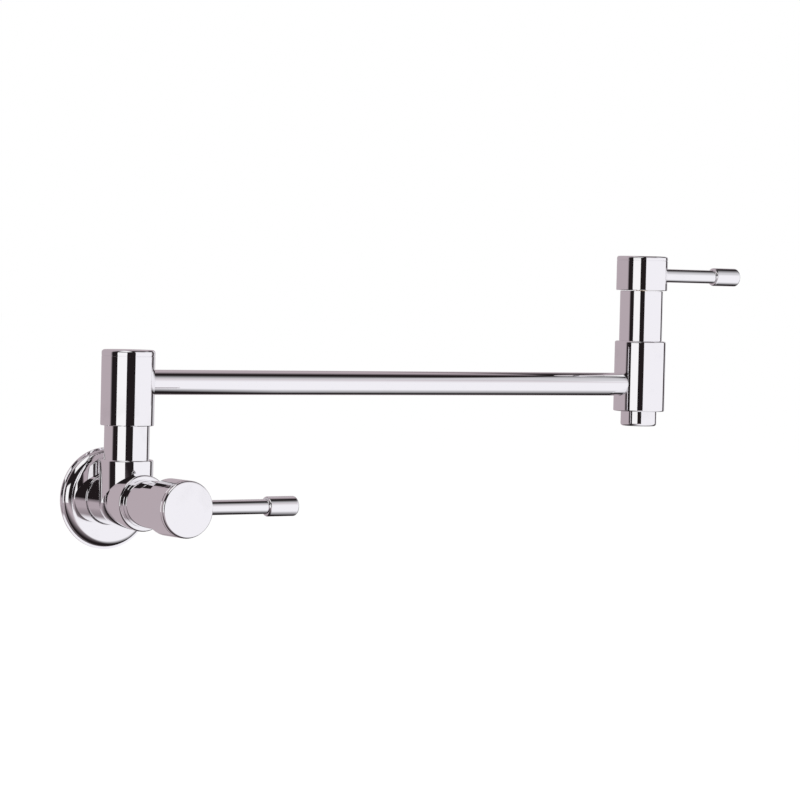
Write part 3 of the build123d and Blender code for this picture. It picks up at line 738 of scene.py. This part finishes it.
def add_key_lamp(power):
    lamp = bpy.data.lights.new("key_lamp", "AREA")
    lamp.shape = "DISK"
    lamp.size = KEY_LAMP_SIZE
    lamp.energy = power
    holder = bpy.data.objects.new("key_lamp", lamp)
    holder.location = KEY_LAMP_PLACE
    aim = Vector(KEY_LAMP_AIM) - Vector(holder.location)
    holder.rotation_euler = aim.to_track_quat("-Z", "Y").to_euler()
    holder.visible_glossy = False
    bpy.context.scene.collection.objects.link(holder)


def camera_matrix(place, turn, dip, roll):
    """Camera pose from its turn about the vertical, its dip and its roll."""
    ahead = Vector((math.sin(turn) * math.cos(dip), math.cos(turn) * math.cos(dip),
                    -math.sin(dip)))
    level_right = Vector((math.cos(turn), -math.sin(turn), 0))
    level_up = level_right.cross(ahead)
    right = level_right * math.cos(roll) + level_up * math.sin(roll)
    up = level_up * math.cos(roll) - level_right * math.sin(roll)
    turned = Matrix((right, up, -ahead)).transposed().to_4x4()
    return Matrix.Translation(place) @ turned


# ---------------------------------------------------------------------------
# Operators
# ---------------------------------------------------------------------------

class POTFILLER_OT_chrome(Operator):
    """Gives polished chrome to every plated piece"""

    bl_idname = "potfiller.chrome"
    bl_label = "Polish the chrome"

    def execute(self, context):
        dress({"polished_chrome"}, polished_chrome())
        return {"FINISHED"}


class POTFILLER_OT_inner_metals(Operator):
    """Gives turned brass and stainless steel to the cartridges and fasteners"""

    bl_idname = "potfiller.inner_metals"
    bl_label = "Finish brass and steel"

    def execute(self, context):
        dress({"machined_brass"}, machined_brass())
        dress({"stainless_steel"}, stainless_steel())
        return {"FINISHED"}


class POTFILLER_OT_discs_and_bushes(Operator):
    """Gives ceramic to the valve discs and acetal to bushes, washers and jet insert"""

    bl_idname = "potfiller.discs_and_bushes"
    bl_label = "Finish discs and bushes"

    def execute(self, context):
        dress({"ceramic_white"}, lapped_ceramic())
        dress({"bearing_plastic"}, natural_acetal())
        return {"FINISHED"}


class POTFILLER_OT_seals(Operator):
    """Gives rubber to the seals and foam to the flange's backing"""

    bl_idname = "potfiller.seals"
    bl_label = "Finish seals and foam"

    def execute(self, context):
        dress({"seal_rubber"}, seal_rubber())
        dress({"foam_black"}, closed_foam())
        return {"FINISHED"}


class POTFILLER_OT_braze_fillets(Operator):
    """Adds the polished braze fillets where the arm tube meets its two bodies"""

    bl_idname = "potfiller.braze_fillets"
    bl_label = "Add braze fillets"

    def execute(self, context):
        trim = settings().trim
        chrome = bpy.data.materials["polished_chrome"]
        for name, radius, place, outward in (
            ("sleeve_braze", sleeve_radius, swivel_point.x, 1),
            ("outlet_braze", outlet_radius, outlet_point.x, -1),
        ):
            points, faces = braze_fillet_points(radius, place, outward, trim.braze_size,
                                                trim.turn_segments)
            add_piece(name, points, faces, "arm", chrome)
        return {"FINISHED"}


class POTFILLER_OT_inlet_thread(Operator):
    """Adds the cut thread inside the inlet"""

    bl_idname = "potfiller.inlet_thread"
    bl_label = "Add inlet thread"

    def execute(self, context):
        trim = settings().trim
        points, faces = thread_points(inlet_radius, inlet_depth, trim.thread_pitch,
                                      trim.thread_depth, trim.turn_segments)
        add_piece("inlet_thread", points, faces, "wall_valve",
                  bpy.data.materials["machined_brass"])
        return {"FINISHED"}


class POTFILLER_OT_stage(Operator):
    """Builds the white floor, the studio cards, the even light and the key lamp"""

    bl_idname = "potfiller.stage"
    bl_label = "Build the studio"

    def execute(self, context):
        studio = settings().studio
        context.scene.view_settings.view_transform = "Standard"
        build_world(studio.room_light)
        add_floor(studio.floor_level, studio.room_light)
        add_cards()
        add_key_lamp(studio.key_power)
        return {"FINISHED"}


class POTFILLER_OT_camera(Operator):
    """Places the camera at the photograph's viewing angle"""

    bl_idname = "potfiller.camera"
    bl_label = "Place the camera"

    def execute(self, context):
        studio = settings().studio
        lens = bpy.data.cameras.new("camera")
        lens.sensor_width = 36.0
        lens.lens = studio.focal_length
        lens.clip_end = 100.0
        camera = bpy.data.objects.new("camera", lens)
        context.scene.collection.objects.link(camera)
        camera.matrix_world = camera_matrix(Vector(studio.camera_place), studio.camera_turn,
                                            studio.camera_dip, studio.camera_roll)
        context.scene.camera = camera
        return {"FINISHED"}


class POTFILLER_PT_sidebar(Panel):
    """Lists the steps that dress the pot filler"""

    bl_label = "Pot Filler"
    bl_idname = "POTFILLER_PT_sidebar"
    bl_space_type = "VIEW_3D"
    bl_region_type = "UI"
    bl_category = "Pot Filler"

    def draw(self, context):
        column = self.layout.column()
        for operator in STEPS:
            column.operator(operator.bl_idname)
        for group in (settings().finish, settings().trim, settings().studio):
            box = self.layout.box()
            for name in group.__annotations__:
                box.prop(group, name)


STEPS = (
    POTFILLER_OT_chrome,
    POTFILLER_OT_inner_metals,
    POTFILLER_OT_discs_and_bushes,
    POTFILLER_OT_seals,
    POTFILLER_OT_braze_fillets,
    POTFILLER_OT_inlet_thread,
    POTFILLER_OT_stage,
    POTFILLER_OT_camera,
)
CLASSES = (FinishSettings, TrimSettings, StudioSettings, PotFillerSettings, *STEPS,
           POTFILLER_PT_sidebar)


def register():
    for cls in CLASSES:
        bpy.utils.register_class(cls)
    bpy.types.Scene.pot_filler = PointerProperty(type=PotFillerSettings)


def unregister():
    del bpy.types.Scene.pot_filler
    for cls in reversed(CLASSES):
        bpy.utils.unregister_class(cls)


def main():
    register()
    for operator in STEPS:
        space, name = operator.bl_idname.split(".")
        getattr(getattr(bpy.ops, space), name)()


if __name__ == "__main__":
    main()
